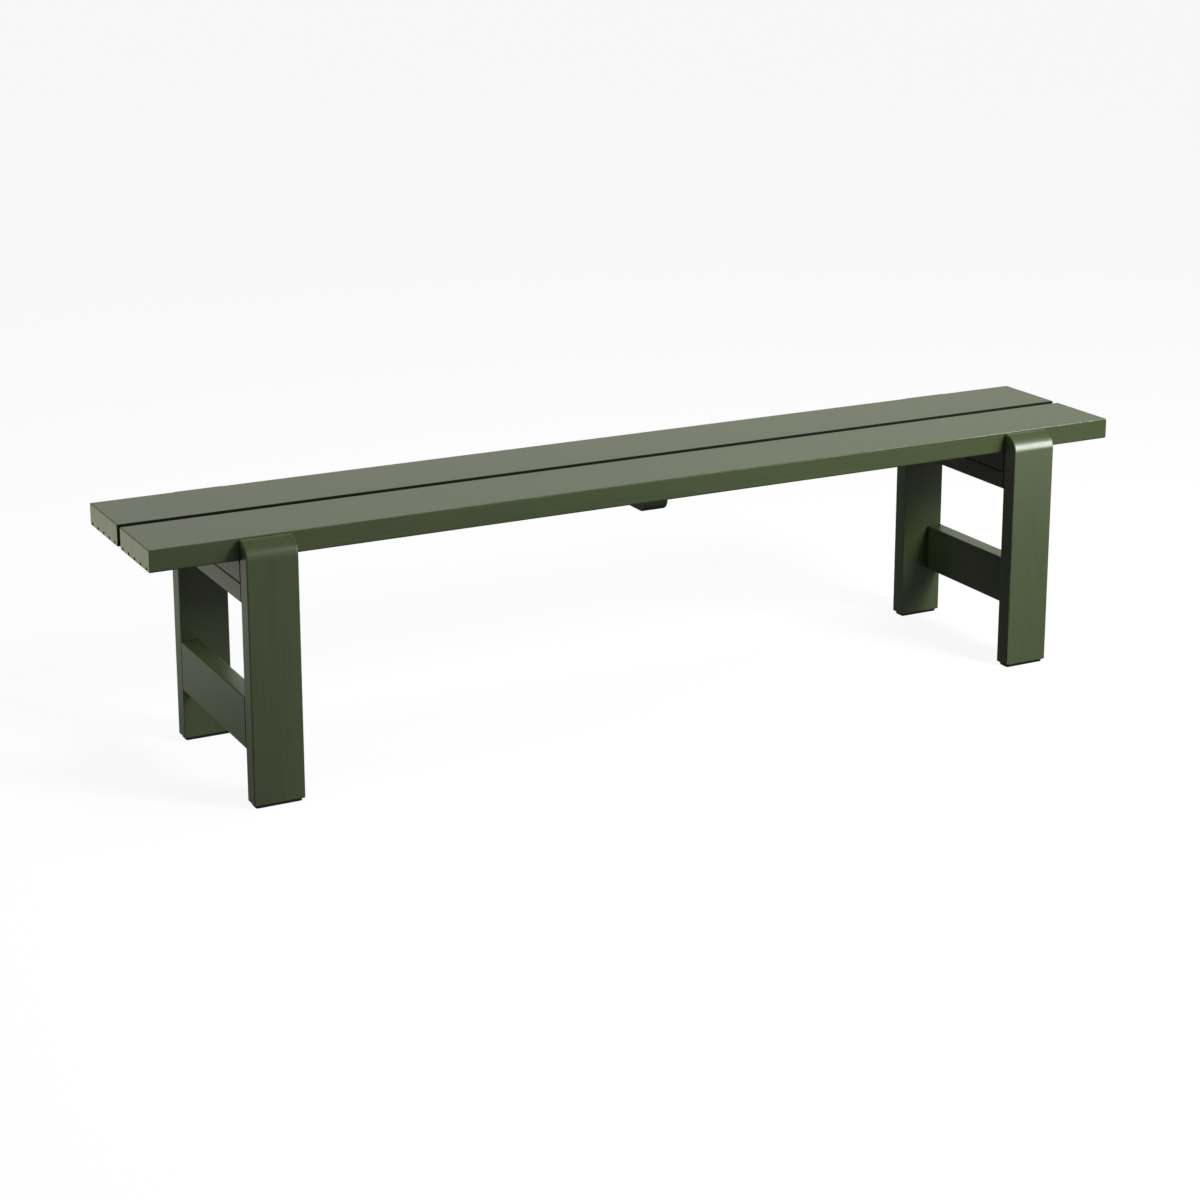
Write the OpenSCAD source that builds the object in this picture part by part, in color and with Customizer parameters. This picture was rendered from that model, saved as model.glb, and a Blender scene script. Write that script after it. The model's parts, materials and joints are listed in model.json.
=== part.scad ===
// Backless bench: two long planks on two board-built leg frames.
// Origin on the floor under the middle of the bench; +X along the seat, +Y to the rear.

/* [Seat] */
// Overall length of the seat
bench_length = 1900; // [1500:10:2400]
// Distance between the inner faces of the front and rear legs
seat_depth = 320; // [280:1:400]
// Height of the seat surface above the floor
seat_height = 455; // [430:1:480]
// Thickness of the seat planks
plank_t = 38; // [34:1:45]
// Gap between the front and rear planks
plank_gap = 15; // [8:1:25]

/* [Frames] */
// Width of the leg and rail boards
board_w = 89; // [80:1:100]
// Thickness of the leg, rail and stretcher boards
board_t = 33; // [30:1:36]
// Distance from the end of the seat to the outer side of a leg
leg_inset = 150; // [100:5:250]
// Drop from the seat surface to the top of the legs
leg_drop = 2; // [0:0.5:6]
// Height of the stretcher's lower edge above the floor
stretcher_z = 95.5; // [70:0.5:140]

/* [Battens] */
// Thickness of the end battens and the centre batten
batten_t = 38; // [36:1:42]
// Width of the centre batten along the seat
centre_batten_w = 46; // [40:1:60]
// Distance from the plank's outer face to the end of the centre batten
centre_batten_setback = 60; // [30:1:65]

/* [Feet] */
// Thickness of the foot pads
foot_t = 5; // [4:0.5:8]
// Distance from the leg's faces to the edge of its foot pad
foot_inset = 4; // [2:0.5:5]

/* [Hidden] */
$fn = 64;

// Running clearances and edge roundings
leg_gap = 0.5;
batten_gap = 1;
hole_play = 0.05;
edge_r = 2.5;
plank_top_r = 2;
plank_bottom_r = 3.5;
plank_end_r = 1.5;
batten_edge_r = 2;
cut = 1;

// Underside grooves of a plank
groove_count = 5;
groove_w = 4;
groove_h = 7;
groove_pitch_ratio = 0.204;

// Heights, from the floor up
seat_under = seat_height - plank_t;
batten_under = seat_under - batten_t;
rail_under = batten_under - board_t;
leg_top = seat_height - leg_drop;

// Depths, from the middle of the bench outwards
leg_inner_y = seat_depth / 2;
plank_outer_y = leg_inner_y - leg_gap;
plank_w = plank_outer_y - plank_gap / 2;
plank_mid_y = (plank_outer_y + plank_gap / 2) / 2;

// Places along the seat
leg_mid_x = bench_length / 2 - leg_inset - board_w / 2;

// Set-off of a stretcher from the middle of its leg frame, towards the bench's end
stretcher_off_x = (board_w - board_t) / 2;

// Dowels
dowel_r = 5;
dowel_l = 50;
dowel_in_leg = 22;
dowel_end_play = 1;
dowel_bevel = 1.5;
rail_dowel_x = 22;
stretcher_dowel_z = 24;

// Frame bolts, washers and threaded inserts
bolt_r = 4;
bolt_l = 42;
bolt_y = 95;
bolt_head_r = 7;
bolt_head_h = 4.4;
bolt_key_r = 2.9;
bolt_key_h = 2.6;
bolt_hole_r = 4.5;
washer_r = 12;
washer_t = 2;
counterbore_r = 13;
counterbore_h = 9;
insert_r = 6.5;
insert_bore_r = 4.1;
insert_l = 22;
insert_flange_r = 9;
insert_flange_t = 1.5;

// Wood screws into the planks
screw_r = 3;
screw_l = 62;
screw_head_r = 6;
screw_head_h = 4;
screw_sink = 0.5;
screw_tip = 6;
screw_key_r = 2.3;
screw_key_h = 2.5;
end_screw_x = 27;
end_screw_inner_y = 37;
end_screw_outer_y = 130;
centre_screw_inner_y = 30;
centre_screw_outer_y = 70;

// Foot pad screws
foot_screw_r = 2;
foot_screw_l = 28;
foot_screw_head_r = 4;
foot_screw_head_h = 2.5;
foot_screw_sink = 1;
foot_screw_tip = 4;
foot_screw_key_r = 1.5;
foot_screw_key_h = 1.5;
foot_screw_x = 26;
foot_edge_r = 0.8;
foot_corner_r = 4;

// Rounding of the centre batten's lower corners
centre_end_r = 20;

// Colours
paint = [0.36, 0.39, 0.30];
pad_black = [0.05, 0.05, 0.05];
beech = [0.78, 0.62, 0.43];
zinc = [0.72, 0.73, 0.74];
brass = [0.78, 0.63, 0.30];

// ---- profiles and board blanks ----

// Rectangle centred on the origin with all four corners rounded
module round_rect(w, h, r) {
    union() {
        square([w - 2 * r, h], center = true);
        square([w, h - 2 * r], center = true);
        for (x = [-1, 1], y = [-1, 1])
            translate([x * (w / 2 - r), y * (h / 2 - r)])
                circle(r);
    }
}

// Straight board centred on the origin with every long edge and end edge rounded
module board(x, y, z, r) {
    intersection() {
        rotate([90, 0, 90])
            linear_extrude(height = x + 2 * cut, center = true)
                round_rect(y, z, r);
        rotate([90, 0, 0])
            linear_extrude(height = y + 2 * cut, center = true)
                round_rect(x, z, r);
        linear_extrude(height = z + 2 * cut, center = true)
            round_rect(x, y, r);
    }
}

// Board whose long edges run along Y, with square ends that butt against the legs
module rail_board(x, y, z, r) {
    rotate([90, 0, 0])
        linear_extrude(height = y, center = true)
            round_rect(x, z, r);
}

// Straight hole along +Z from z = 0
module hole(r, h) {
    translate([0, 0, -cut])
        cylinder(r = r, h = h + cut);
}

// ---- fasteners, each standing on z = 0 and pointing up ----

// Pointed wood screw with a countersunk head at the bottom
module wood_screw(r, l, head_r, head_h, tip, key_r, key_h) {
    difference() {
        rotate_extrude()
            polygon([[0, 0], [head_r, 0], [r, head_h], [r, l - tip], [0, l]]);
        translate([0, 0, -cut])
            cylinder(r = key_r, h = key_h + cut, $fn = 6);
    }
}

// Clearance for that screw: a countersink and a straight hole
module screw_hole(r, l, head_r, head_h, sink) {
    translate([0, 0, -sink])
        hole(head_r + hole_play, sink);
    cylinder(r1 = head_r + hole_play, r2 = r + hole_play, h = head_h);
    cylinder(r = r + hole_play, h = l + hole_play);
}

module seat_screw() {
    wood_screw(screw_r, screw_l, screw_head_r, screw_head_h, screw_tip, screw_key_r, screw_key_h);
}

module seat_screw_hole() {
    screw_hole(screw_r, screw_l, screw_head_r, screw_head_h, screw_sink);
}

module foot_screw() {
    wood_screw(foot_screw_r, foot_screw_l, foot_screw_head_r, foot_screw_head_h,
        foot_screw_tip, foot_screw_key_r, foot_screw_key_h);
}

module foot_screw_hole() {
    screw_hole(foot_screw_r, foot_screw_l, foot_screw_head_r, foot_screw_head_h, foot_screw_sink);
}

// Dowel along Y, centred, with bevelled ends
module dowel() {
    rotate([90, 0, 0])
        translate([0, 0, -dowel_l / 2])
            rotate_extrude()
                polygon([
                    [0, 0], [dowel_r - dowel_bevel, 0], [dowel_r, dowel_bevel],
                    [dowel_r, dowel_l - dowel_bevel], [dowel_r - dowel_bevel, dowel_l], [0, dowel_l]
                ]);
}

module dowel_hole() {
    rotate([90, 0, 0])
        cylinder(r = dowel_r + hole_play, h = dowel_l + 2 * dowel_end_play, center = true);
}

// Button-head bolt, head at the bottom, with a hexagon socket
module frame_bolt() {
    difference() {
        union() {
            rotate_extrude()
                polygon([
                    [0, 0], [bolt_head_r / 2, 0], [bolt_head_r, bolt_head_h / 2],
                    [bolt_head_r, bolt_head_h], [0, bolt_head_h]
                ]);
            cylinder(r = bolt_r, h = bolt_head_h + bolt_l);
        }
        translate([0, 0, -cut])
            cylinder(r = bolt_key_r, h = bolt_key_h + cut, $fn = 6);
    }
}

module washer() {
    difference() {
        cylinder(r = washer_r, h = washer_t);
        hole(bolt_hole_r, washer_t + cut);
    }
}

// Threaded insert with a flange at its lower end
module threaded_insert() {
    difference() {
        union() {
            cylinder(r = insert_flange_r, h = insert_flange_t);
            cylinder(r = insert_r, h = insert_l);
        }
        hole(insert_bore_r, insert_l + cut);
    }
}

// ---- places that repeat ----

// The two frame bolts of one leg frame, in the frame's own middle plane
module at_frame_bolts(z) {
    for (side = [-1, 1])
        translate([0, side * bolt_y, z])
            children();
}

// The four screws of an end batten, two to each plank and staggered along the seat
module at_end_screws() {
    for (side = [-1, 1], outer = [0, 1])
        translate([
            (2 * outer - 1) * end_screw_x,
            side * (outer == 1 ? end_screw_outer_y : end_screw_inner_y),
            batten_under + screw_sink
        ])
            children();
}

// The four screws of the centre batten
module at_centre_screws() {
    for (side = [-1, 1], y = [centre_screw_inner_y, centre_screw_outer_y])
        translate([0, side * y, batten_under + screw_sink])
            children();
}

module at_rail_dowels(side) {
    for (x = [-1, 1])
        translate([x * rail_dowel_x, side * (leg_inner_y + dowel_in_leg - dowel_l / 2),
            rail_under + board_t / 2])
            children();
}

module at_stretcher_dowels(side) {
    for (z = [-1, 1])
        translate([-stretcher_off_x, side * (leg_inner_y + dowel_in_leg - dowel_l / 2),
            stretcher_z + board_w / 2 + z * stretcher_dowel_z])
            children();
}

// The two screws of one foot pad
module at_foot_screws(side) {
    for (x = [-1, 1])
        translate([x * foot_screw_x, side * (leg_inner_y + board_t / 2), foot_screw_sink])
            children();
}

// Puts a left-hand frame part at the left leg frame
module at_left() {
    translate([-leg_mid_x, 0, 0])
        children();
}

// Mirrors a left-hand frame part to the right leg frame
module at_right() {
    mirror([1, 0, 0])
        at_left()
            children();
}

// ---- seat ----

// Cross-section of a plank about its own middle: Y across, Z up
module plank_profile() {
    difference() {
        union() {
            intersection() {
                round_rect(plank_w, plank_t, plank_top_r);
                translate([-plank_w / 2, 0])
                    square([plank_w, plank_t]);
            }
            intersection() {
                round_rect(plank_w, plank_t, plank_bottom_r);
                translate([-plank_w / 2, -plank_t])
                    square([plank_w, plank_t]);
            }
        }
        for (i = [0 : groove_count - 1])
            translate([
                (i - (groove_count - 1) / 2) * groove_pitch_ratio * plank_w - groove_w / 2,
                -plank_t / 2 - cut
            ])
                square([groove_w, groove_h + cut]);
    }
}

module plank_blank() {
    intersection() {
        rotate([90, 0, 90])
            linear_extrude(height = bench_length, center = true)
                plank_profile();
        rotate([90, 0, 0])
            linear_extrude(height = plank_w + 2 * cut, center = true)
                round_rect(bench_length, plank_t, plank_end_r);
        linear_extrude(height = plank_t + 2 * cut, center = true)
            round_rect(bench_length, plank_w, plank_end_r);
    }
}

module seat_plank(side) {
    color(paint)
        difference() {
            translate([0, side * plank_mid_y, seat_under + plank_t / 2])
                plank_blank();
            at_left()
                at_end_screws()
                    seat_screw_hole();
            at_right()
                at_end_screws()
                    seat_screw_hole();
            at_centre_screws()
                seat_screw_hole();
        }
}

// ---- battens ----

module end_batten() {
    color(paint)
        difference() {
            translate([0, 0, batten_under + batten_t / 2])
                board(board_w, 2 * (leg_inner_y - batten_gap), batten_t, batten_edge_r);
            at_end_screws()
                seat_screw_hole();
            at_frame_bolts(batten_under) {
                hole(insert_r + hole_play, insert_l + hole_play);
                hole(insert_flange_r + hole_play, insert_flange_t + hole_play);
            }
        }
}

// Side view of the centre batten: Y across, Z up, with its lower corners rounded
module centre_batten_profile() {
    half = plank_outer_y - centre_batten_setback;
    union() {
        translate([-half, -batten_t / 2 + centre_end_r])
            square([2 * half, batten_t - centre_end_r]);
        translate([-half + centre_end_r, -batten_t / 2])
            square([2 * (half - centre_end_r), centre_end_r + cut]);
        for (side = [-1, 1])
            translate([side * (half - centre_end_r), -batten_t / 2 + centre_end_r])
                circle(centre_end_r);
    }
}

module centre_batten() {
    color(paint)
        difference() {
            translate([0, 0, batten_under + batten_t / 2])
                intersection() {
                    rotate([90, 0, 90])
                        linear_extrude(height = centre_batten_w, center = true)
                            centre_batten_profile();
                    rotate([90, 0, 0])
                        linear_extrude(height = seat_depth, center = true)
                            round_rect(centre_batten_w, batten_t, batten_edge_r);
                }
            at_centre_screws()
                seat_screw_hole();
        }
}

// ---- leg frames, drawn about the middle of the left frame ----

// Leg blank for the rear side: inner face on y = 0, rounded over to the outside at the top
module leg_blank() {
    top_r = board_t - edge_r;
    union() {
        translate([0, board_t / 2, foot_t])
            linear_extrude(height = leg_top - top_r - foot_t)
                round_rect(board_w, board_t, edge_r);
        translate([0, 0, leg_top - top_r])
            linear_extrude(height = top_r)
                intersection() {
                    translate([0, board_t / 2])
                        round_rect(board_w, board_t, edge_r);
                    translate([-board_w / 2, 0])
                        square([board_w, edge_r]);
                }
        translate([0, edge_r, leg_top - top_r])
            rotate([90, 0, 90])
                rotate_extrude(angle = 90)
                    intersection() {
                        translate([top_r - board_t / 2, 0])
                            round_rect(board_t, board_w, edge_r);
                        translate([0, -board_w / 2])
                            square([top_r, board_w]);
                    }
    }
}

module leg(side) {
    color(paint)
        difference() {
            if (side > 0)
                translate([0, leg_inner_y, 0])
                    leg_blank();
            else
                mirror([0, 1, 0])
                    translate([0, leg_inner_y, 0])
                        leg_blank();
            at_rail_dowels(side)
                dowel_hole();
            at_stretcher_dowels(side)
                dowel_hole();
            at_foot_screws(side)
                foot_screw_hole();
        }
}

module top_rail() {
    color(paint)
        difference() {
            translate([0, 0, rail_under + board_t / 2])
                rail_board(board_w, seat_depth, board_t, edge_r);
            at_frame_bolts(rail_under) {
                hole(counterbore_r, counterbore_h);
                hole(bolt_hole_r, board_t + cut);
            }
            for (side = [-1, 1])
                at_rail_dowels(side)
                    dowel_hole();
        }
}

module stretcher() {
    color(paint)
        difference() {
            translate([-stretcher_off_x, 0, stretcher_z + board_w / 2])
                rail_board(board_t, seat_depth, board_w, edge_r);
            for (side = [-1, 1])
                at_stretcher_dowels(side)
                    dowel_hole();
        }
}

module foot_pad(side) {
    pad_x = board_w - 2 * foot_inset;
    pad_y = board_t - 2 * foot_inset;
    color(pad_black)
        difference() {
            translate([0, side * (leg_inner_y + board_t / 2), foot_t / 2])
                intersection() {
                    linear_extrude(height = foot_t, center = true)
                        round_rect(pad_x, pad_y, foot_corner_r);
                    rotate([90, 0, 0])
                        linear_extrude(height = board_t, center = true)
                            round_rect(pad_x, foot_t, foot_edge_r);
                    rotate([90, 0, 90])
                        linear_extrude(height = board_w, center = true)
                            round_rect(pad_y, foot_t, foot_edge_r);
                }
            at_foot_screws(side)
                foot_screw_hole();
        }
}

module rail_dowels() {
    color(beech)
        for (side = [-1, 1])
            at_rail_dowels(side)
                dowel();
}

module stretcher_dowels() {
    color(beech)
        for (side = [-1, 1])
            at_stretcher_dowels(side)
                dowel();
}

module frame_bolts() {
    color(zinc)
        at_frame_bolts(rail_under + counterbore_h - washer_t - bolt_head_h)
            frame_bolt();
}

module bolt_washers() {
    color(zinc)
        at_frame_bolts(rail_under + counterbore_h - washer_t)
            washer();
}

module threaded_inserts() {
    color(brass)
        at_frame_bolts(batten_under)
            threaded_insert();
}

module end_batten_screws() {
    color(zinc)
        at_end_screws()
            seat_screw();
}

module centre_batten_screws() {
    color(zinc)
        at_centre_screws()
            seat_screw();
}

module foot_screws() {
    color(zinc)
        for (side = [-1, 1])
            at_foot_screws(side)
                foot_screw();
}

// ---- nodes ----

seat_plank(-1);  // seat_plank_front
seat_plank(1);  // seat_plank_rear
at_left() end_batten();  // left_end_batten
at_right() end_batten();  // right_end_batten
centre_batten();
at_left() leg(-1);  // left_leg_front
at_left() leg(1);  // left_leg_rear
at_right() leg(-1);  // right_leg_front
at_right() leg(1);  // right_leg_rear
at_left() top_rail();  // left_top_rail
at_right() top_rail();  // right_top_rail
at_left() stretcher();  // left_stretcher
at_right() stretcher();  // right_stretcher
at_left() foot_pad(-1);  // left_foot_front
at_left() foot_pad(1);  // left_foot_rear
at_right() foot_pad(-1);  // right_foot_front
at_right() foot_pad(1);  // right_foot_rear
at_left() rail_dowels();  // left_rail_dowels
at_right() rail_dowels();  // right_rail_dowels
at_left() stretcher_dowels();  // left_stretcher_dowels
at_right() stretcher_dowels();  // right_stretcher_dowels
at_left() frame_bolts();  // left_frame_bolts
at_right() frame_bolts();  // right_frame_bolts
at_left() bolt_washers();  // left_bolt_washers
at_right() bolt_washers();  // right_bolt_washers
at_left() threaded_inserts();  // left_threaded_inserts
at_right() threaded_inserts();  // right_threaded_inserts
at_left() end_batten_screws();  // left_batten_screws
at_right() end_batten_screws();  // right_batten_screws
centre_batten_screws();
at_left() foot_screws();  // left_foot_screws
at_right() foot_screws();  // right_foot_screws
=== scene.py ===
"""Backless bench: painted timber boards, plastic foot pads and their hidden fixings, in a plain studio."""

import json
import math

import bmesh
import bpy
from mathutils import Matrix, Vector

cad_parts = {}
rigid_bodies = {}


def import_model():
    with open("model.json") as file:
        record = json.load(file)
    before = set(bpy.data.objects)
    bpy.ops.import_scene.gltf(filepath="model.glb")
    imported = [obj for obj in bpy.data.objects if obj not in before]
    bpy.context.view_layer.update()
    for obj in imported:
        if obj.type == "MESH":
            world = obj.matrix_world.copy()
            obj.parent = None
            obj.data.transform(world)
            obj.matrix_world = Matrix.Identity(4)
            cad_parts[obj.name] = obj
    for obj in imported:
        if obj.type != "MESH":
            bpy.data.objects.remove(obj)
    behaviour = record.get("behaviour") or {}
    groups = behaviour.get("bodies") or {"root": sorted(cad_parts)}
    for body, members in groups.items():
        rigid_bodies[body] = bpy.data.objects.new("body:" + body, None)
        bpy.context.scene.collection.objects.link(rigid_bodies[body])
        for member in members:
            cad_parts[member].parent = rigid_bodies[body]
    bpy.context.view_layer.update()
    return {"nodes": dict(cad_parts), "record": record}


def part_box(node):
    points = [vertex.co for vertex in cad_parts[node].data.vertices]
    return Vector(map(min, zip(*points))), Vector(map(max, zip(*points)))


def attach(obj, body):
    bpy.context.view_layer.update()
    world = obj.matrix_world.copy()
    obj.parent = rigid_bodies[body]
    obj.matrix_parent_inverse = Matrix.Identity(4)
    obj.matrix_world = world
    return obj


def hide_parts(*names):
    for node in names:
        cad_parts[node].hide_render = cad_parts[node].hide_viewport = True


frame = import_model()

# The material slot of each node
SLOTS = {row["node"]: row["material_slot"] for row in frame["record"]["subparts"]}
MM = 0.001

# ---- camera: places in metres, turns in degrees, lens and sensor in millimetres ----

CAMERA_PLACE = (-2.1135, -3.9219, 1.6149)
CAMERA_TURN = 27.62
CAMERA_TILT = -13.74
CAMERA_LENS = 76.67
CAMERA_SENSOR = 36.0
CAMERA_REACH = 200.0
# Part of the frame's width by which the picture is moved
CAMERA_SHIFT_Y = -0.15


def make_camera():
    """Looks down at the front of the bench from its left."""
    data = bpy.data.cameras.new("camera")
    data.lens = CAMERA_LENS
    data.sensor_width = CAMERA_SENSOR
    data.shift_y = CAMERA_SHIFT_Y
    data.clip_end = CAMERA_REACH
    camera = bpy.data.objects.new("camera", data)
    camera.location = CAMERA_PLACE
    camera.rotation_euler = (math.radians(90 + CAMERA_TILT), 0.0, math.radians(-CAMERA_TURN))
    bpy.context.collection.objects.link(camera)
    bpy.context.scene.camera = camera


# ---- sizes of the meshes ----

# How finely arcs and holes are divided
ARC_STEPS = 6
BATTEN_CORNER_STEPS = 16
LEG_TOP_STEPS = 24
HOLE_STEPS = 48

# The least rounding, so that no two points coincide, and the sharpest bend shaded smoothly
LEAST_RADIUS = 0.02 * MM
SMOOTH_ANGLE = math.radians(40)

# Roundings of the boards and pads
LEG_EDGE = 2.5 * MM
RAIL_EDGE = 2.5 * MM
RAIL_END = 0.7 * MM
BATTEN_EDGE = 2.0 * MM
JOINED_EDGE = 1.0 * MM
CENTRE_BATTEN_CORNER = 20.0 * MM
CENTRE_BATTEN_TOP_EDGE = 1.5 * MM
PLANK_TOP_EDGE = 2.0 * MM
PLANK_LOWER_EDGE = 3.5 * MM
PLANK_END = 1.5 * MM
FOOT_CORNER = 4.0 * MM
FOOT_EDGE = 0.8 * MM

# Grooves along the underside of a plank; the pitch is a part of the plank's width
GROOVES = 5
GROOVE_WIDTH = 4.0 * MM
GROOVE_DEPTH = 7.0 * MM
GROOVE_PITCH = 0.204
GROOVE_LIP = 1.2 * MM

# Holes for the fixings; a drill runs past the board by its overshoot
DRILL_OVERSHOOT = 1.0 * MM
HOLE_LIP = 0.5 * MM
WASHER_RADIUS = 12.0 * MM
COUNTERBORE_RADIUS = 13.0 * MM
COUNTERBORE_DEPTH = 9.0 * MM
BOLT_HOLE_RADIUS = 4.5 * MM
CENTRE_SCREWS = (30.0 * MM, 70.0 * MM)
SCREW_RADIUS = 3.05 * MM
SCREW_HEAD_RADIUS = 6.05 * MM
SCREW_HEAD_DEPTH = 4.0 * MM
SCREW_SINK = 0.5 * MM
FOOT_SCREW_RADIUS = 2.05 * MM
FOOT_SCREW_HEAD_RADIUS = 4.05 * MM
FOOT_SCREW_HEAD_DEPTH = 2.5 * MM
FOOT_SCREW_SINK = 1.0 * MM


# ---- mesh work ----


def block_outline(low, high, radii, steps=(ARC_STEPS,) * 4):
    """Rectangle with rounded corners, as a function of how far the outline is moved inwards.

    The corners run anticlockwise from the lower left, each with its own radius and steps.
    """

    def outline(inset):
        left, bottom = low[0] + inset, low[1] + inset
        right, top = high[0] - inset, high[1] - inset
        corners = [(left, bottom, 1, 1), (right, bottom, -1, 1), (right, top, -1, -1), (left, top, 1, -1)]
        points = []
        for number, (x, y, inward_x, inward_y) in enumerate(corners):
            radius = max(radii[number] - inset, LEAST_RADIUS)
            for step in range(steps[number] + 1):
                turn = math.radians(180 + 90 * number + 90 * step / steps[number])
                points.append((
                    x + radius * (inward_x + math.cos(turn)),
                    y + radius * (inward_y + math.sin(turn)),
                ))
        return points

    return outline


def plank_outline(low, high):
    """Cross-section of a plank, with the grooves in its underside."""
    radii = (PLANK_LOWER_EDGE, PLANK_LOWER_EDGE, PLANK_TOP_EDGE, PLANK_TOP_EDGE)
    plain = block_outline(low, high, radii)
    middle, width = (low[0] + high[0]) / 2, high[0] - low[0]
    half = GROOVE_WIDTH / 2

    def outline(inset):
        points = plain(inset)
        bottom, deep = low[1] + inset, low[1] + GROOVE_DEPTH
        lip = max(GROOVE_LIP - inset, LEAST_RADIUS)
        grooves = []
        for number in range(GROOVES):
            centre = middle + (number - (GROOVES - 1) / 2) * GROOVE_PITCH * width
            grooves += [
                (centre - half - lip, bottom), (centre - half, bottom + lip), (centre - half, deep),
                (centre + half, deep), (centre + half, bottom + lip), (centre + half + lip, bottom),
            ]
        return points[:ARC_STEPS + 1] + grooves + points[ARC_STEPS + 1:]

    return outline


def make_object(name, mesh):
    data = bpy.data.meshes.new(name)
    mesh.to_mesh(data)
    mesh.free()
    piece = bpy.data.objects.new(name, data)
    bpy.context.collection.objects.link(piece)
    return piece


def skin(mesh, rings):
    """Closes a row of rings of points into a solid."""
    rings = [[mesh.verts.new(point) for point in ring] for ring in rings]
    for ring, following in zip(rings, rings[1:]):
        for number in range(len(ring)):
            onward = (number + 1) % len(ring)
            mesh.faces.new((ring[number], ring[onward], following[onward], following[number]))
    mesh.faces.new(rings[0])
    mesh.faces.new(rings[-1])


def lofted(name, axis, low, high, outline, ease):
    """A solid with one outline all along an axis, and end edges rounded by ease."""
    turns = [math.radians(90 * step / ARC_STEPS) for step in range(ARC_STEPS + 1)]
    bends = [(ease * (1 - math.sin(turn)), ease * (1 - math.cos(turn))) for turn in turns]
    stations = [(low + back, inset) for back, inset in reversed(bends)]
    stations += [(high - back, inset) for back, inset in bends]
    rings = []
    for along, inset in stations:
        ring = [list(point) for point in outline(inset)]
        for point in ring:
            point.insert(axis, along)
        rings.append(ring)
    mesh = bmesh.new()
    skin(mesh, rings)
    bmesh.ops.recalc_face_normals(mesh, faces=mesh.faces)
    return make_object(name, mesh)


def block(node, axis, radii, ease, steps=(ARC_STEPS,) * 4):
    """A board or pad that fills the box of a node, with its outline drawn across one axis."""
    low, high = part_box(node)
    section_low = [value for number, value in enumerate(low) if number != axis]
    section_high = [value for number, value in enumerate(high) if number != axis]
    outline = block_outline(section_low, section_high, radii, steps)
    return lofted(node + "_mesh", axis, low[axis], high[axis], outline, ease)


def drill(piece, places, foot, steps):
    """Cuts a round hole up from the height foot at each place; steps are (height, radius)."""
    mesh = bmesh.new()
    turns = [2 * math.pi * number / HOLE_STEPS for number in range(HOLE_STEPS)]
    for x, y in places:
        skin(mesh, [
            [(x + radius * math.cos(turn), y + radius * math.sin(turn), foot + height) for turn in turns]
            for height, radius in steps
        ])
    bmesh.ops.recalc_face_normals(mesh, faces=mesh.faces)
    cutter = make_object("cutter", mesh)
    modifier = piece.modifiers.new("holes", "BOOLEAN")
    modifier.operation = "DIFFERENCE"
    modifier.solver = "EXACT"
    modifier.object = cutter
    graph = bpy.context.evaluated_depsgraph_get()
    cut = bpy.data.meshes.new_from_object(piece.evaluated_get(graph))
    piece.modifiers.clear()
    piece.data = cut
    bpy.data.objects.remove(cutter)


def smooth(piece):
    """Shades the arcs smoothly and keeps the flats flat."""
    piece.data.shade_smooth()
    piece.data.set_sharp_from_angle(angle=SMOOTH_ANGLE)
    modifier = piece.modifiers.new("flats", "WEIGHTED_NORMAL")
    modifier.keep_sharp = True


# ---- boards and pads ----


def seat_plank(node):
    """A long plank with grooves along its underside."""
    low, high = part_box(node)
    outline = plank_outline(low[1:], high[1:])
    return lofted(node + "_mesh", 0, low[0], high[0], outline, PLANK_END)


def end_batten(node):
    """A wide board across both planks, above a leg frame."""
    return block(node, 1, (JOINED_EDGE,) * 4, BATTEN_EDGE)


def centre_batten(node):
    """The narrow batten at mid length, with its lower ends rounded and its screws countersunk."""
    radii = (CENTRE_BATTEN_CORNER,) * 2 + (CENTRE_BATTEN_TOP_EDGE,) * 2
    steps = (BATTEN_CORNER_STEPS, BATTEN_CORNER_STEPS, ARC_STEPS, ARC_STEPS)
    piece = block(node, 0, radii, BATTEN_EDGE, steps)
    low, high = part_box(node)
    through = high[2] - low[2] + DRILL_OVERSHOOT
    places = [((low[0] + high[0]) / 2, side * y) for side in (-1, 1) for y in CENTRE_SCREWS]
    drill(piece, places, low[2], [
        (-DRILL_OVERSHOOT, SCREW_HEAD_RADIUS + HOLE_LIP), (0, SCREW_HEAD_RADIUS + HOLE_LIP),
        (SCREW_SINK, SCREW_HEAD_RADIUS), (SCREW_SINK + SCREW_HEAD_DEPTH, SCREW_RADIUS),
        (through, SCREW_RADIUS),
    ])
    return piece


def leg(node):
    """A leg whose top end is rounded over to the outside of the bench."""
    low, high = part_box(node)
    radii = [LEG_EDGE] * 4
    steps = [ARC_STEPS] * 4
    outer_top = 2 if high[1] > 0 else 3
    radii[outer_top] = high[1] - low[1] - LEG_EDGE
    steps[outer_top] = LEG_TOP_STEPS
    return block(node, 0, radii, LEG_EDGE, steps)


def top_rail(node):
    """The flat rail of a leg frame, counterbored from below for its two bolts."""
    piece = block(node, 1, (RAIL_EDGE, RAIL_EDGE, JOINED_EDGE, JOINED_EDGE), RAIL_END)
    low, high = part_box(node)
    washer_low, washer_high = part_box(node.replace("top_rail", "bolt_washers"))
    x = (low[0] + high[0]) / 2
    places = [(x, washer_low[1] + WASHER_RADIUS), (x, washer_high[1] - WASHER_RADIUS)]
    through = high[2] - low[2] + DRILL_OVERSHOOT
    drill(piece, places, low[2], [
        (-DRILL_OVERSHOOT, COUNTERBORE_RADIUS + HOLE_LIP), (0, COUNTERBORE_RADIUS + HOLE_LIP),
        (HOLE_LIP, COUNTERBORE_RADIUS), (COUNTERBORE_DEPTH, COUNTERBORE_RADIUS),
        (COUNTERBORE_DEPTH, BOLT_HOLE_RADIUS), (through, BOLT_HOLE_RADIUS),
    ])
    return piece


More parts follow.
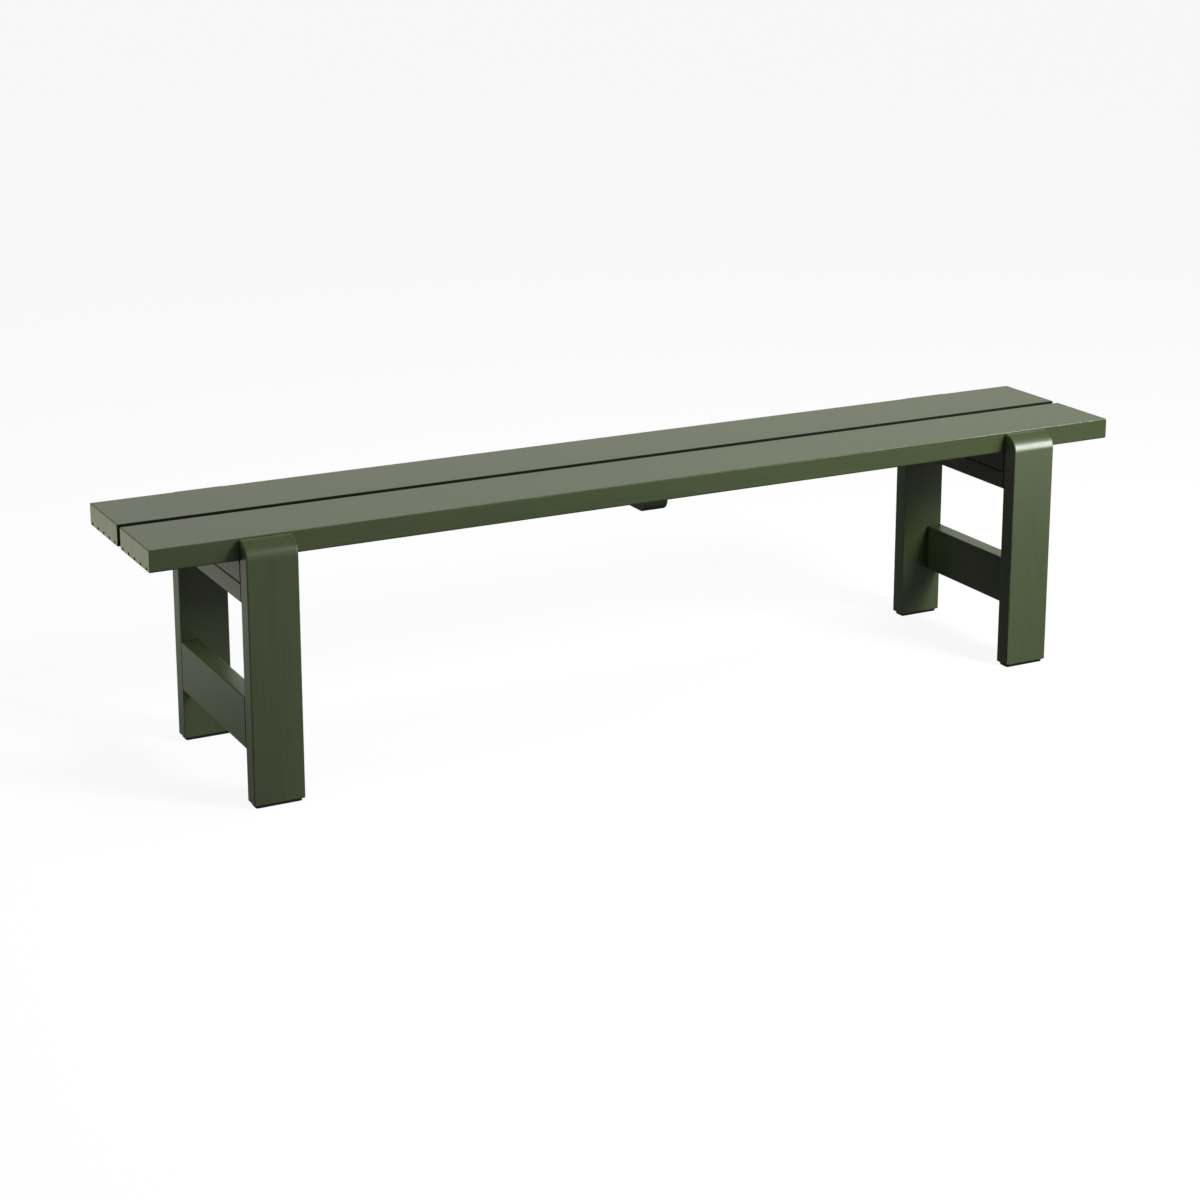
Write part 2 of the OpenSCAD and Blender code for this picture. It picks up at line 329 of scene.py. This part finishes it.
def stretcher(node):
    """The lower board of a leg frame, set on edge."""
    return block(node, 1, (RAIL_EDGE,) * 4, RAIL_END)


def foot_pad(node):
    """A thin pad under a leg, with two countersunk screw holes."""
    piece = block(node, 2, (FOOT_CORNER,) * 4, FOOT_EDGE)
    low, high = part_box(node)
    screw_low, screw_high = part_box(node.split("_")[0] + "_foot_screws")
    y = (low[1] + high[1]) / 2
    places = [
        (screw_low[0] + FOOT_SCREW_HEAD_RADIUS, y), (screw_high[0] - FOOT_SCREW_HEAD_RADIUS, y),
    ]
    through = high[2] - low[2] + DRILL_OVERSHOOT
    drill(piece, places, low[2], [
        (-DRILL_OVERSHOOT, FOOT_SCREW_HEAD_RADIUS), (FOOT_SCREW_SINK, FOOT_SCREW_HEAD_RADIUS),
        (FOOT_SCREW_SINK + FOOT_SCREW_HEAD_DEPTH, FOOT_SCREW_RADIUS), (through, FOOT_SCREW_RADIUS),
    ])
    return piece


# ---- node graphs ----

# Sockets of a Mix node that hold colours: two inputs and the output
MIX_FROM = 6
MIX_TO = 7
MIX_RESULT = 2


class Graph:
    """The node tree of a material or a world, with short calls for the nodes used here."""

    def __init__(self, owner, shader="Principled BSDF"):
        owner.use_nodes = True
        self.owner = owner
        self.tree = owner.node_tree
        self.shader = self.tree.nodes[shader]

    def node(self, kind, **settings):
        made = self.tree.nodes.new(kind)
        for key, value in settings.items():
            setattr(made, key, value)
        return made

    def join(self, value, socket):
        """Links an output to a socket, or sets the socket to a plain value."""
        if isinstance(value, bpy.types.NodeSocket):
            self.tree.links.new(value, socket)
        else:
            socket.default_value = value

    def drive(self, value, name):
        """Joins a value to a socket of the shader."""
        self.join(value, self.shader.inputs[name])

    def math(self, operation, a, b=0.0):
        made = self.node("ShaderNodeMath", operation=operation)
        self.join(a, made.inputs[0])
        self.join(b, made.inputs[1])
        return made.outputs[0]

    def times(self, a, b):
        return self.math("MULTIPLY", a, b)

    def plus(self, a, b):
        return self.math("ADD", a, b)

    def minus(self, a, b):
        return self.math("SUBTRACT", a, b)

    def total(self, *parts):
        """The sum of several values, each times its share."""
        result, *others = [self.times(value, share) for value, share in parts]
        for other in others:
            result = self.plus(result, other)
        return result

    def ramp(self, value, low, high, to_low=0.0, to_high=1.0):
        """Smooth step of value between low and high."""
        made = self.node("ShaderNodeMapRange", interpolation_type="SMOOTHSTEP")
        for number, socket in zip((value, low, high, to_low, to_high), made.inputs):
            self.join(number, socket)
        return made.outputs[0]

    def place(self):
        """The three object coordinates."""
        return self.split(self.node("ShaderNodeTexCoord").outputs["Object"])

    def facing(self, axis):
        """How squarely the surface faces along an axis."""
        normal = self.split(self.node("ShaderNodeTexCoord").outputs["Normal"])
        return self.math("ABSOLUTE", normal[axis])

    def split(self, vector):
        made = self.node("ShaderNodeSeparateXYZ")
        self.join(vector, made.inputs[0])
        return list(made.outputs)

    def noise(self, place, scales, detail=3.0, roughness=0.5):
        """Noise whose scale differs along the three coordinates."""
        joined = self.node("ShaderNodeCombineXYZ")
        for value, scale, socket in zip(place, scales, joined.inputs):
            self.join(self.times(value, scale), socket)
        made = self.node("ShaderNodeTexNoise")
        self.join(joined.outputs[0], made.inputs["Vector"])
        made.inputs["Scale"].default_value = 1.0
        made.inputs["Detail"].default_value = detail
        made.inputs["Roughness"].default_value = roughness
        return made.outputs[0]

    def colour(self, value, low, high):
        """A colour between low and high."""
        made = self.node("ShaderNodeMix", data_type="RGBA")
        self.join(value, made.inputs[0])
        self.join(low, made.inputs[MIX_FROM])
        self.join(high, made.inputs[MIX_TO])
        return made.outputs[MIX_RESULT]

    def bump(self, height):
        """Tilts the surface by a height in metres."""
        made = self.node("ShaderNodeBump")
        made.inputs["Strength"].default_value = 1.0
        made.inputs["Distance"].default_value = 1.0
        self.join(height, made.inputs["Height"])
        self.drive(made.outputs[0], "Normal")


def edge_nearness(graph, place, low, high, width):
    """1 on the edges of a box, falling to 0 at width from them."""
    gaps = []
    for axis in range(3):
        from_low = graph.minus(place[axis], low[axis])
        to_high = graph.minus(high[axis], place[axis])
        gaps.append(graph.math("ABSOLUTE", graph.math("MINIMUM", from_low, to_high)))
    # The middle one of the three distances is small only near an edge
    a, b, c = gaps
    smaller = graph.math("MINIMUM", a, b)
    larger = graph.math("MAXIMUM", a, b)
    second = graph.math("MAXIMUM", smaller, graph.math("MINIMUM", larger, c))
    return graph.ramp(second, 0.0, width, 1.0, 0.0)


# ---- materials ----

# Colours are linear; a noise's scales are per metre along its three coordinates

PAINT_DARK = (0.0405, 0.055, 0.023, 1.0)
PAINT_LIGHT = (0.053, 0.071, 0.0305, 1.0)
PAINT_WORN = (0.080, 0.100, 0.050, 1.0)
# Pale colour of the ends: partly end grain, partly painted sheen standing in for light falling on them
END_GRAIN_AND_SHEEN = (0.203, 0.230, 0.138, 1.0)
# Painted shade: near-black paint in the creases where boards meet, on the walls of the gap between the
# planks and in the plank grooves
PAINTED_SHADE_COLOUR = (0.006, 0.007, 0.003, 1.0)
PLASTIC_DARK = (0.012, 0.012, 0.012, 1.0)
PLASTIC_SCUFFED = (0.024, 0.024, 0.023, 1.0)
ZINC_DARK = (0.50, 0.51, 0.53, 1.0)
ZINC_LIGHT = (0.74, 0.75, 0.78, 1.0)
BRASS_DARK = (0.60, 0.42, 0.16, 1.0)
BRASS_LIGHT = (0.78, 0.58, 0.28, 1.0)
BEECH_DARK = (0.50, 0.33, 0.18, 1.0)
BEECH_LIGHT = (0.66, 0.48, 0.30, 1.0)

# Growth rings, about a pith above each board and to one side of it
RING_PITCH = 5.5 * MM
RING_BEND = 0.055
RING_BEND_SCALES = (0.9, 6.0, 0.0)
RING_SHARPNESS = 2.5
PITH_ABOVE = 0.045
PITH_ABOVE_STEP = 0.012
PITH_ABOVE_STEPS = 3
PITH_ASIDE = 0.018
PITH_TURN = 2.1

# Patterns of the paint; each board takes them from another place along its grain
BOARD_STEP = 7.3
FIBRE_SCALES = (9.0, 620.0, 620.0)
DRIFT_SCALES = (2.2, 11.0, 11.0)
PEEL_SCALES = (420.0,) * 3
PATCH_SCALES = (38.0,) * 3
WORN_EDGE = 3.2 * MM
WORN_PATCHES = (0.42, 0.72)
# How far the painted shade reaches from a crease or a gap wall, and past a groove's floor
SEAM_NEAR = 0.5 * MM
SEAM_FAR = 2.0 * MM
GROOVE_MARGIN = 0.1 * MM

# Tone: the range that goes from dark to light paint, and how much each pattern tells in it
TONE_RANGE = (0.2, 0.75)
DRIFT_TONE = 0.7
FIBRE_TONE = 0.3
RING_TONE = -0.14
WORN_TONE = 0.4

# Pale ends, partly the end grain's own paint and partly painted sheen: how squarely a face looks along the
# board, and how the patches thin its pale colour
END_FACING = (0.8, 0.97)
END_PATCHES = (0.0, 0.8, 0.7, 1.0)

# How much each pattern tells in the paint's roughness and relief
PAINT_ROUGHNESS = 0.25
FIBRE_ROUGHNESS = 0.07
DRIFT_ROUGHNESS = 0.06
WORN_ROUGHNESS = 0.08
SEAM_ROUGHNESS = 0.65
RING_RELIEF = 0.03 * MM
FIBRE_RELIEF = 0.04 * MM
PEEL_RELIEF = 0.012 * MM

# Moulded plastic
SPARK_SCALES = (1900.0,) * 3
SCUFF_SCALES = (45.0,) * 3
SCUFF_RANGE = (0.55, 0.75)
PLASTIC_ROUGHNESS = 0.5
SPARK_ROUGHNESS = 0.2
SPARK_RELIEF = 0.06 * MM

# Metal
TURNING_SCALES = (40.0, 40.0, 2600.0)
DULL_SCALES = (160.0,) * 3
DULL_RANGE = (0.3, 0.7)
ZINC_ROUGHNESS = 0.28
BRASS_ROUGHNESS = 0.25
DULL_ROUGHNESS = 0.15
TURNING_RELIEF = 0.02 * MM

# Bare beech
FLECK_SCALES = (900.0, 60.0, 900.0)
FLECK_RANGE = (0.3, 0.7)
BEECH_ROUGHNESS = 0.6
FLECK_ROUGHNESS = 0.15
FLECK_RELIEF = 0.05 * MM


def painted_shade_planes(graph, place, planes):
    """Painted shade: 1 on the planes where a board meets or faces another, falling to 0 a little way off.
    """
    nearest = SEAM_FAR
    for axis, value in planes:
        gap = graph.math("ABSOLUTE", graph.minus(place[axis], value))
        nearest = graph.math("MINIMUM", gap, nearest)
    return graph.ramp(nearest, SEAM_NEAR, SEAM_FAR, 1.0, 0.0)


def groove_shade(graph, low, high, place):
    """Painted shade: 1 on the walls and lips of a plank's grooves, which hardly any light reaches."""
    pitch = GROOVE_PITCH * (high[1] - low[1])
    # Counted in pitches, each groove's middle is a whole number; GROOVES keeps them above 0
    count = graph.times(graph.minus(place[1], (low[1] + high[1]) / 2), 1 / pitch)
    off = graph.minus(graph.math("FRACT", graph.plus(count, GROOVES + 0.5)), 0.5)
    off = graph.times(graph.math("ABSOLUTE", off), pitch)
    near = graph.math("LESS_THAN", off, GROOVE_WIDTH / 2 + GROOVE_LIP)
    deep = graph.math("LESS_THAN", place[2], low[2] + GROOVE_DEPTH + GROOVE_MARGIN)
    return graph.times(near, deep)


def grain_place(graph, place, low, high, along, number):
    """Coordinates along a board's grain, across its width and through its thickness."""
    across = [axis for axis in range(3) if axis != along]
    if high[across[0]] - low[across[0]] < high[across[1]] - low[across[1]]:
        across.reverse()
    u = graph.plus(place[along], BOARD_STEP * number)
    v, w = [graph.minus(place[axis], (low[axis] + high[axis]) / 2) for axis in across]
    return u, v, w


def growth_rings(graph, grain, number):
    """Saw-tooth rings, 0 to 1, about a pith that wanders beside the board."""
    _, v, w = grain
    bend = graph.noise(grain, RING_BEND_SCALES, detail=2.0)
    up = graph.plus(w, PITH_ABOVE + PITH_ABOVE_STEP * (number % PITH_ABOVE_STEPS))
    side = graph.plus(v, PITH_ASIDE * math.sin(PITH_TURN * number))
    radius = graph.math("SQRT", graph.plus(graph.times(up, up), graph.times(side, side)))
    radius = graph.plus(radius, graph.times(bend, RING_BEND))
    return graph.math("FRACT", graph.times(radius, 1 / RING_PITCH))


def paint_colour(graph, tone, end, patches, wear, joined):
    """Colour of the paint: paler on the ends, from end grain and painted sheen, paler where it is worn,
    and painted shade in the creases, the gap between the planks and the grooves.
    """
    paint = graph.colour(graph.ramp(tone, *TONE_RANGE), PAINT_DARK, PAINT_LIGHT)
    end = graph.times(end, graph.ramp(patches, *END_PATCHES))
    paint = graph.colour(end, paint, END_GRAIN_AND_SHEEN)
    paint = graph.colour(graph.times(wear, WORN_TONE), paint, PAINT_WORN)
    # Painted shade in the creases, on the gap walls between the planks and in the grooves
    return graph.colour(joined, paint, PAINTED_SHADE_COLOUR)


def painted_timber(node, along, number, end_grain_and_sheen, joints):
    """Satin green paint on a planed softwood board whose grain runs along one axis.

    end_grain_and_sheen is how pale its ends are, from end grain and painted sheen, and joints are the
    sides of its box that meet or face other boards, where shade is painted: axis and 0 for low or 1 for
    high.
    """
    graph = Graph(bpy.data.materials.new("paint_" + node))
    low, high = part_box(node)
    place = graph.place()
    grain = grain_place(graph, place, low, high, along, number)

    rings = graph.math("POWER", growth_rings(graph, grain, number), RING_SHARPNESS)
    fibre = graph.noise(grain, FIBRE_SCALES, detail=3.0, roughness=0.6)
    drift = graph.noise(grain, DRIFT_SCALES, detail=2.0)
    peel = graph.noise(grain, PEEL_SCALES, detail=2.0)
    patches = graph.noise(grain, PATCH_SCALES, detail=3.0)
    edge = edge_nearness(graph, place, low, high, WORN_EDGE)
    wear = graph.times(edge, graph.ramp(patches, *WORN_PATCHES))
    # Pale ends: partly the end grain itself, partly painted sheen
    end = graph.times(graph.ramp(graph.facing(along), *END_FACING), end_grain_and_sheen)
    # joined is painted shade on the planes where boards meet or face each other
    joined = painted_shade_planes(graph, place, [(axis, (low, high)[side][axis]) for axis, side in joints])
    # Only the planks run along X, and only they have grooves, whose walls get painted shade too
    if along == 0:
        joined = graph.math("MAXIMUM", joined, groove_shade(graph, low, high, place))

    tone = graph.total((drift, DRIFT_TONE), (fibre, FIBRE_TONE), (rings, RING_TONE))
    graph.drive(paint_colour(graph, tone, end, patches, wear, joined), "Base Color")
    rough = graph.total(
        (fibre, FIBRE_ROUGHNESS), (drift, DRIFT_ROUGHNESS),
        (wear, WORN_ROUGHNESS), (joined, SEAM_ROUGHNESS),
    )
    graph.drive(graph.plus(rough, PAINT_ROUGHNESS), "Roughness")
    graph.bump(graph.total((rings, RING_RELIEF), (fibre, FIBRE_RELIEF), (peel, PEEL_RELIEF)))
    return graph.owner


def moulded_plastic(node):
    """Black plastic with a fine spark-eroded texture and faint scuffs."""
    graph = Graph(bpy.data.materials.new("plastic_" + node))
    place = graph.place()
    spark = graph.noise(place, SPARK_SCALES, detail=2.0)
    scuff = graph.ramp(graph.noise(place, SCUFF_SCALES), *SCUFF_RANGE)
    graph.drive(graph.colour(scuff, PLASTIC_DARK, PLASTIC_SCUFFED), "Base Color")
    graph.drive(graph.plus(graph.times(spark, SPARK_ROUGHNESS), PLASTIC_ROUGHNESS), "Roughness")
    graph.bump(graph.times(spark, SPARK_RELIEF))
    return graph.owner


def turned_metal(node, dark, light, roughness):
    """Plated or turned metal with fine turning marks and dull patches."""
    graph = Graph(bpy.data.materials.new("metal_" + node))
    place = graph.place()
    turning = graph.noise(place, TURNING_SCALES, detail=2.0)
    dull = graph.noise(place, DULL_SCALES)
    graph.drive(graph.colour(graph.ramp(dull, *DULL_RANGE), dark, light), "Base Color")
    graph.drive(1.0, "Metallic")
    graph.drive(graph.plus(graph.times(dull, DULL_ROUGHNESS), roughness), "Roughness")
    graph.bump(graph.times(turning, TURNING_RELIEF))
    return graph.owner


def bare_beech(node):
    """Unfinished turned beech with short flecks along Y."""
    graph = Graph(bpy.data.materials.new("beech_" + node))
    fleck = graph.noise(graph.place(), FLECK_SCALES)
    graph.drive(graph.colour(graph.ramp(fleck, *FLECK_RANGE), BEECH_DARK, BEECH_LIGHT), "Base Color")
    graph.drive(graph.plus(graph.times(fleck, FLECK_ROUGHNESS), BEECH_ROUGHNESS), "Roughness")
    graph.bump(graph.times(fleck, FLECK_RELIEF))
    return graph.owner


# ---- the bench ----

# What stands for each kind of board: a part of its name, its mesh, the axis of its grain, how pale its
# ends are from end grain and painted sheen, and the sides of its box that meet or face other boards, where
# shade is painted
BOTH_ENDS = ((1, 0), (1, 1))
BOARDS = (
    ("seat_plank_front", seat_plank, 0, 1.0, ((1, 1),)),
    ("seat_plank_rear", seat_plank, 0, 1.0, ((1, 0),)),
    ("end_batten", end_batten, 1, 0.3, BOTH_ENDS + ((2, 0), (2, 1))),
    ("centre_batten", centre_batten, 1, 0.3, ((2, 1),)),
    ("_leg_", leg, 2, 0.0, ()),
    ("top_rail", top_rail, 1, 0.0, BOTH_ENDS + ((2, 1),)),
    ("stretcher", stretcher, 1, 0.0, BOTH_ENDS),
)


def stand_for(node, piece, material):
    """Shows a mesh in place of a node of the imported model."""
    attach(piece, "root")
    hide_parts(node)
    smooth(piece)
    piece.data.materials.clear()
    piece.data.materials.append(material)


def fixing_material(node):
    """Material of a dowel, insert, bolt, washer or screw."""
    if SLOTS[node] == "beech":
        return bare_beech(node)
    if SLOTS[node] == "insert_brass":
        return turned_metal(node, BRASS_DARK, BRASS_LIGHT, BRASS_ROUGHNESS)
    return turned_metal(node, ZINC_DARK, ZINC_LIGHT, ZINC_ROUGHNESS)


def make_bench():
    """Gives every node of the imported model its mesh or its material."""
    for number, node in enumerate(sorted(frame["nodes"])):
        if SLOTS[node] == "painted_timber":
            build, along, end_grain_and_sheen, joints = next(row[1:] for row in BOARDS if row[0] in node)
            stand_for(node, build(node), painted_timber(node, along, number, end_grain_and_sheen, joints))
        elif SLOTS[node] == "foot_plastic":
            stand_for(node, foot_pad(node), moulded_plastic(node))
        else:
            slots = frame["nodes"][node].data.materials
            slots.clear()
            slots.append(fixing_material(node))


# ---- studio, in metres and watts ----

WHITE = (1.0, 1.0, 1.0)
STRAW = (1.0, 1.0, 0.85)

# name, place, what it points at, size, power, colour, what it lights, how
LIGHTS = (
    ("key", (1.7, -2.6, 2.2), (0.3, 0.0, 0.35), (1.0, 1.0), 138.0, WHITE, "all", "matt"),
    ("side_key", (1.9, -1.5, 1.4), (0.6, 0.0, 0.35), (1.0, 1.0), 28.0, WHITE, "bench", "matt"),
    ("top", (0.0, 0.0, 3.0), (0.0, 0.0, 0.4), (2.5, 1.2), 30.0, WHITE, "all", "matt"),
    ("leg_gleam", (1.9, -1.5, 0.85), (0.7, 0.0, 0.40), (0.9, 0.9), 52.0, WHITE, "leg_front", "gloss"),
    ("leg_sheen", (1.7, -2.6, 2.2), (0.3, 0.0, 0.35), (1.0, 1.0), 85.0, WHITE, "leg_front", "gloss"),
    ("edge_gleam", (2.1, -0.6, 2.3), (0.75, 0.0, 0.45), (0.5, 0.5), 50.0, WHITE, "seat_plank", "gloss"),
    ("back", (1.9, 4.0, 1.8), (0.2, 0.0, 0.4), (5.0, 2.4), 22.5, (1.0, 1.0, 0.88), "bench", "both"),
    ("back_fill", (2.0, 3.2, 1.0), (0.3, 0.0, 0.3), (2.0, 1.0), 140.0, WHITE, "bench", "matt"),
    ("left", (-2.6, 0.4, 0.9), (-0.95, 0.0, 0.4), (1.0, 0.8), 24.0, (1.0, 1.0, 0.92), "bench", "matt"),
    ("low_left", (-1.3, 0.9, 0.08), (-0.85, 0.0, 0.35), (0.7, 0.3), 0.15, STRAW, "bench", "both"),
    ("under_left", (-1.35, 1.25, -0.1), (-0.85, 0.0, 0.35), (0.9, 0.5), 0.31, STRAW, "bench", "both"),
)
# The surroundings' light from the front and from the back: axis, sign, strength
GLOW = ((1, -1, 0.40), (1, 1, 0.21))
GLOW_COLOUR = (1.04, 1.0, 1.02, 1.0)
GLOW_FALL = 2.0

ROOM_RADIUS = 60.0
ROOM_COLUMNS = 64
ROOM_ROWS = 32
ROOM_GLOW = 0.93
ROOM_SHADE = 0.0
FLOOR_GLOW = 0.92
FLOOR_SHADE = 0.12

# Pattern of the floor and the room
CLOUD_SCALES = (0.7,) * 3
CLOUD_DARKEST = 0.97
CLOUD_ROUGHNESS = 0.1
SURFACE_ROUGHNESS = 0.85
SURFACE_SPECULAR = 0.1


def lit_pieces(what):
    """The pieces that a light is kept to: the whole bench, or those with a word in their names."""
    pieces = bpy.data.collections.new("lit_" + what)
    for piece in bpy.data.objects:
        if piece.type == "MESH" and piece.name not in ("floor", "room"):
            if what == "bench" or what in piece.name:
                pieces.objects.link(piece)
    return pieces


def area_light(name, place, target, size, power, colour, what, how):
    """A soft light. A matt one leaves no mirror image of itself, and a gloss one leaves only that."""
    data = bpy.data.lights.new(name, "AREA")
    data.shape = "RECTANGLE"
    data.size, data.size_y = size
    data.energy = power
    data.color = colour
    light = bpy.data.objects.new(name, data)
    light.location = place
    light.rotation_euler = (Vector(target) - Vector(place)).to_track_quat("-Z", "Y").to_euler()
    light.visible_camera = False
    light.visible_glossy = how != "matt"
    light.visible_diffuse = how != "gloss"
    if what != "all":
        light.light_linking.receiver_collection = lit_pieces(what)
    bpy.context.collection.objects.link(light)


def pale_surface(name, shade, glow):
    """A dark matt surface that its own glow makes nearly white, seen through from behind."""
    graph = Graph(bpy.data.materials.new(name))
    cloud = graph.noise(graph.place(), CLOUD_SCALES, detail=2.0)
    dark, pale = [(shade * value,) * 3 + (1.0,) for value in (CLOUD_DARKEST, 1.0)]
    graph.drive(graph.colour(cloud, dark, pale), "Base Color")
    graph.drive(graph.plus(graph.times(cloud, CLOUD_ROUGHNESS), SURFACE_ROUGHNESS), "Roughness")
    graph.drive(SURFACE_SPECULAR, "Specular IOR Level")
    graph.drive(WHITE + (1.0,), "Emission Color")
    graph.drive(glow, "Emission Strength")
    mixed = graph.node("ShaderNodeMixShader")
    graph.join(graph.node("ShaderNodeNewGeometry").outputs["Backfacing"], mixed.inputs[0])
    graph.join(graph.shader.outputs[0], mixed.inputs[1])
    graph.join(graph.node("ShaderNodeBsdfTransparent").outputs[0], mixed.inputs[2])
    graph.join(mixed.outputs[0], graph.tree.nodes["Material Output"].inputs["Surface"])
    return graph.owner


def stage_surface(name, mesh, shade, glow):
    """A surface of the studio, which throws no light or shadow on the bench."""
    surface = make_object(name, mesh)
    surface.data.materials.append(pale_surface(name, shade, glow))
    surface.visible_diffuse = False
    surface.visible_glossy = False
    surface.visible_shadow = False


def make_floor():
    """A wide level floor at the height of the feet."""
    mesh = bmesh.new()
    bmesh.ops.create_grid(mesh, x_segments=1, y_segments=1, size=ROOM_RADIUS)
    stage_surface("floor", mesh, FLOOR_SHADE, FLOOR_GLOW)


def make_room():
    """A sphere around the floor, seen from inside."""
    mesh = bmesh.new()
    bmesh.ops.create_uvsphere(mesh, u_segments=ROOM_COLUMNS, v_segments=ROOM_ROWS, radius=ROOM_RADIUS)
    bmesh.ops.reverse_faces(mesh, faces=mesh.faces)
    stage_surface("room", mesh, ROOM_SHADE, ROOM_GLOW)


def make_surroundings():
    """Soft light from the front and from the back, less and less towards the sides."""
    world = bpy.data.worlds.new("studio")
    graph = Graph(world, "Background")
    direction = graph.split(graph.node("ShaderNodeTexCoord").outputs["Generated"])
    parts = []
    for axis, sign, strength in GLOW:
        towards = graph.math("MAXIMUM", graph.times(direction[axis], sign), 0.0)
        parts.append((graph.math("POWER", towards, GLOW_FALL), strength))
    graph.drive(GLOW_COLOUR, "Color")
    graph.drive(graph.total(*parts), "Strength")
    bpy.context.scene.world = world


def make_studio():
    """The floor, the room and the lights."""
    make_floor()
    make_room()
    make_surroundings()
    for light in LIGHTS:
        area_light(*light)
    bpy.context.scene.view_settings.view_transform = "Standard"


make_camera()
make_bench()
make_studio()
